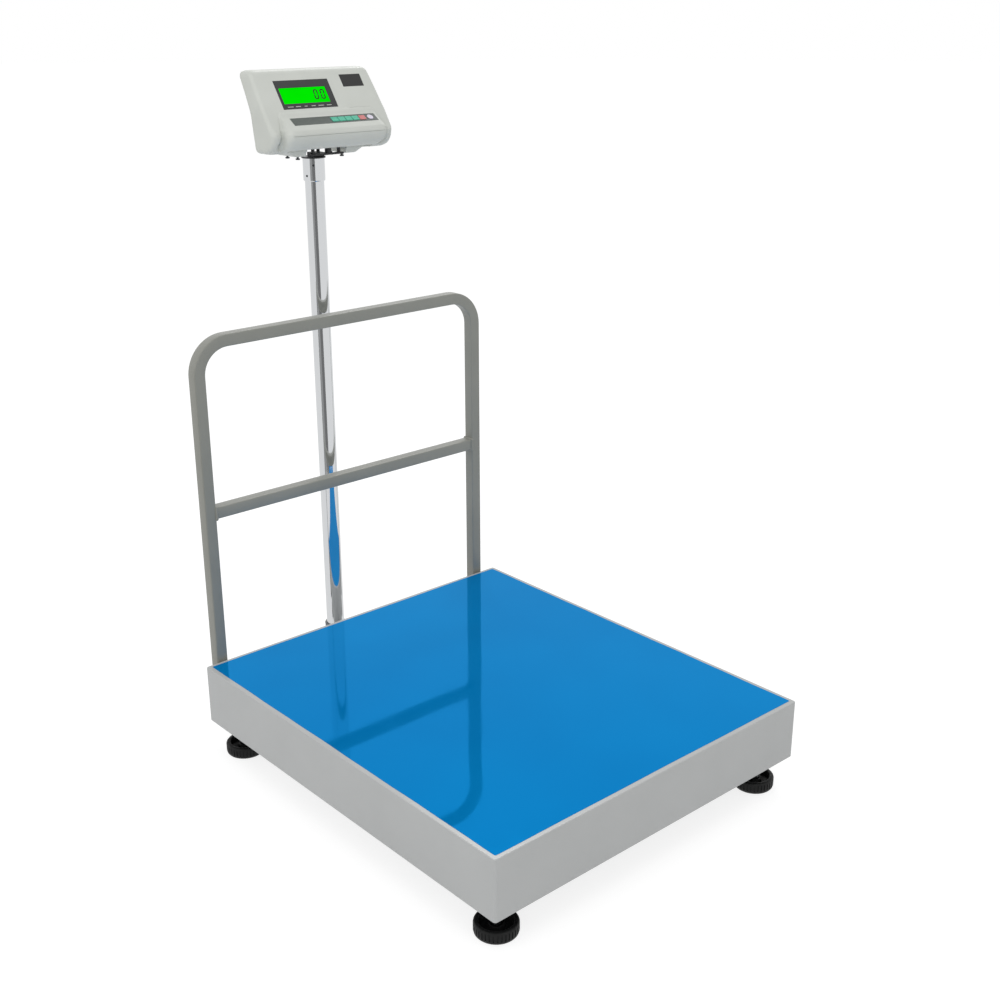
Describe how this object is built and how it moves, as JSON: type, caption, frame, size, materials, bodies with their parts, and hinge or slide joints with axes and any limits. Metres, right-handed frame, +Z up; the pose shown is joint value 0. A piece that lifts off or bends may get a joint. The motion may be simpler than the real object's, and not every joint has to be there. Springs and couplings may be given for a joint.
{
  "type": "platform scale with column indicator",
  "caption": "Floor platform scale: square-edged weighing pan over a levelled frame and load cell, guard rail, and a column with a swivelling keyed indicator.",
  "frame": {"origin": "on the floor, under the middle of the whole outline", "axes": "+X to the right of a person facing the display, +Y from the pan towards the column, +Z up"},
  "size_m": [0.7, 0.9396, 1.2015],
  "materials": {
    "frame_paint": "grey powder coat",
    "zinc_steel": "zinc plated",
    "cell_aluminium": "machined",
    "black_plastic": "moulded",
    "vial": "clear with tinted liquid",
    "cable": "smooth sheath",
    "white_plastic": "moulded",
    "rail_paint": "semi-gloss grey",
    "column_chrome": "polished",
    "rubber": "moulded",
    "pan_steel": "satin light grey",
    "film": "glossy film",
    "dark_screw": "blackened",
    "bracket_black": "satin black",
    "housing": "fine moulded grain",
    "tray_steel": "pressed sheet",
    "transformer": "laminated",
    "board": "solder mask",
    "window_dark": "printed panel",
    "lcd_green": "lit display",
    "label_dark": "printed panel",
    "overlay": "printed film",
    "key_green": "moulded",
    "key_red": "moulded",
    "key_pale": "moulded"
  },
  "bodies": {
    "base": {"base_frame": "frame_paint", "foot_bushes": "zinc_steel", "foot_lock_nuts": "zinc_steel", "load_cell": "cell_aluminium", "lower_spacer": "frame_paint", "lower_cell_bolts": "zinc_steel", "overload_stops": "zinc_steel", "level_housing": "black_plastic", "level_vial": "vial", "cell_cable": "cable", "cable_clips": "white_plastic", "rail_hoop": "rail_paint", "rail_crossbar": "rail_paint", "rail_bolts": "zinc_steel", "column_bracket": "frame_paint", "bracket_bolts": "zinc_steel", "column": "column_chrome", "column_set_bolts": "zinc_steel"},
    "foot_front_left": {"foot_pad_front_left": "rubber", "foot_stud_front_left": "zinc_steel"},
    "foot_front_right": {"foot_pad_front_right": "rubber", "foot_stud_front_right": "zinc_steel"},
    "foot_rear_left": {"foot_pad_rear_left": "rubber", "foot_stud_rear_left": "zinc_steel"},
    "foot_rear_right": {"foot_pad_rear_right": "rubber", "foot_stud_rear_right": "zinc_steel"},
    "platform": {"top_frame": "frame_paint", "upper_spacer": "frame_paint", "upper_cell_bolts": "zinc_steel", "pan_buffers": "rubber"},
    "pan": {"pan": "pan_steel", "protective_film": "film"},
    "head": {"column_sleeve": "column_chrome", "sleeve_screws": "dark_screw", "head_bracket": "bracket_black", "head_standoffs": "bracket_black", "rear_housing": "housing", "front_housing": "housing", "housing_screws": "dark_screw", "leg_screws": "dark_screw", "battery_tray": "tray_steel", "battery": "black_plastic", "transformer": "transformer", "power_inlet": "black_plastic", "head_cable": "cable", "cable_gland": "black_plastic", "circuit_board": "board", "board_screws": "zinc_steel", "display_window": "window_dark", "lcd_panel": "lcd_green", "lcd_backlight": "white_plastic", "blank_label": "label_dark", "key_overlay": "overlay", "key_membrane": "rubber"},
    "button_green_1": {"key_green_1": "key_green"},
    "button_green_2": {"key_green_2": "key_green"},
    "button_green_3": {"key_green_3": "key_green"},
    "button_green_4": {"key_green_4": "key_green"},
    "button_red": {"key_red": "key_red"},
    "button_pale": {"key_pale": "key_pale"}
  },
  "joints": [
    {"name": "foot_front_left_height", "type": "slide", "parent": "base", "child": "foot_front_left", "axis": [0, 0, 1], "range_m": [-0.008, 0.008]},
    {"name": "foot_front_right_height", "type": "slide", "parent": "base", "child": "foot_front_right", "axis": [0, 0, 1], "range_m": [-0.008, 0.008]},
    {"name": "foot_rear_left_height", "type": "slide", "parent": "base", "child": "foot_rear_left", "axis": [0, 0, 1], "range_m": [-0.008, 0.008]},
    {"name": "foot_rear_right_height", "type": "slide", "parent": "base", "child": "foot_rear_right", "axis": [0, 0, 1], "range_m": [-0.008, 0.008]},
    {"name": "weighing_travel", "type": "slide", "parent": "base", "child": "platform", "axis": [0, 0, 1], "range_m": [-0.0006, 0], "stiffness_N_per_m": 1000000, "springref_m": 0.0003, "deforming": ["load_cell"]},
    {"name": "pan_lift", "type": "slide", "parent": "platform", "child": "pan", "axis": [0, 0, 1], "range_m": [0, 0.15]},
    {"name": "head_swivel", "type": "hinge", "parent": "base", "child": "head", "pos_m": [0, 0.42, 1.027], "axis": [0, 0, 1], "range_deg": [-120, 120]},
    {"name": "button_green_1_press", "type": "slide", "parent": "head", "child": "button_green_1", "axis": [0, 0.5446, -0.8387], "range_m": [0, 0.0004], "stiffness_N_per_m": 2000, "springref_m": -0.0004},
    {"name": "button_green_2_press", "type": "slide", "parent": "head", "child": "button_green_2", "axis": [0, 0.5446, -0.8387], "range_m": [0, 0.0004], "stiffness_N_per_m": 2000, "springref_m": -0.0004},
    {"name": "button_green_3_press", "type": "slide", "parent": "head", "child": "button_green_3", "axis": [0, 0.5446, -0.8387], "range_m": [0, 0.0004], "stiffness_N_per_m": 2000, "springref_m": -0.0004},
    {"name": "button_green_4_press", "type": "slide", "parent": "head", "child": "button_green_4", "axis": [0, 0.5446, -0.8387], "range_m": [0, 0.0004], "stiffness_N_per_m": 2000, "springref_m": -0.0004},
    {"name": "button_red_press", "type": "slide", "parent": "head", "child": "button_red", "axis": [0, 0.5446, -0.8387], "range_m": [0, 0.0004], "stiffness_N_per_m": 2000, "springref_m": -0.0004},
    {"name": "button_pale_press", "type": "slide", "parent": "head", "child": "button_pale", "axis": [0, 0.5446, -0.8387], "range_m": [0, 0.0004], "stiffness_N_per_m": 2000, "springref_m": -0.0004}
  ]
}
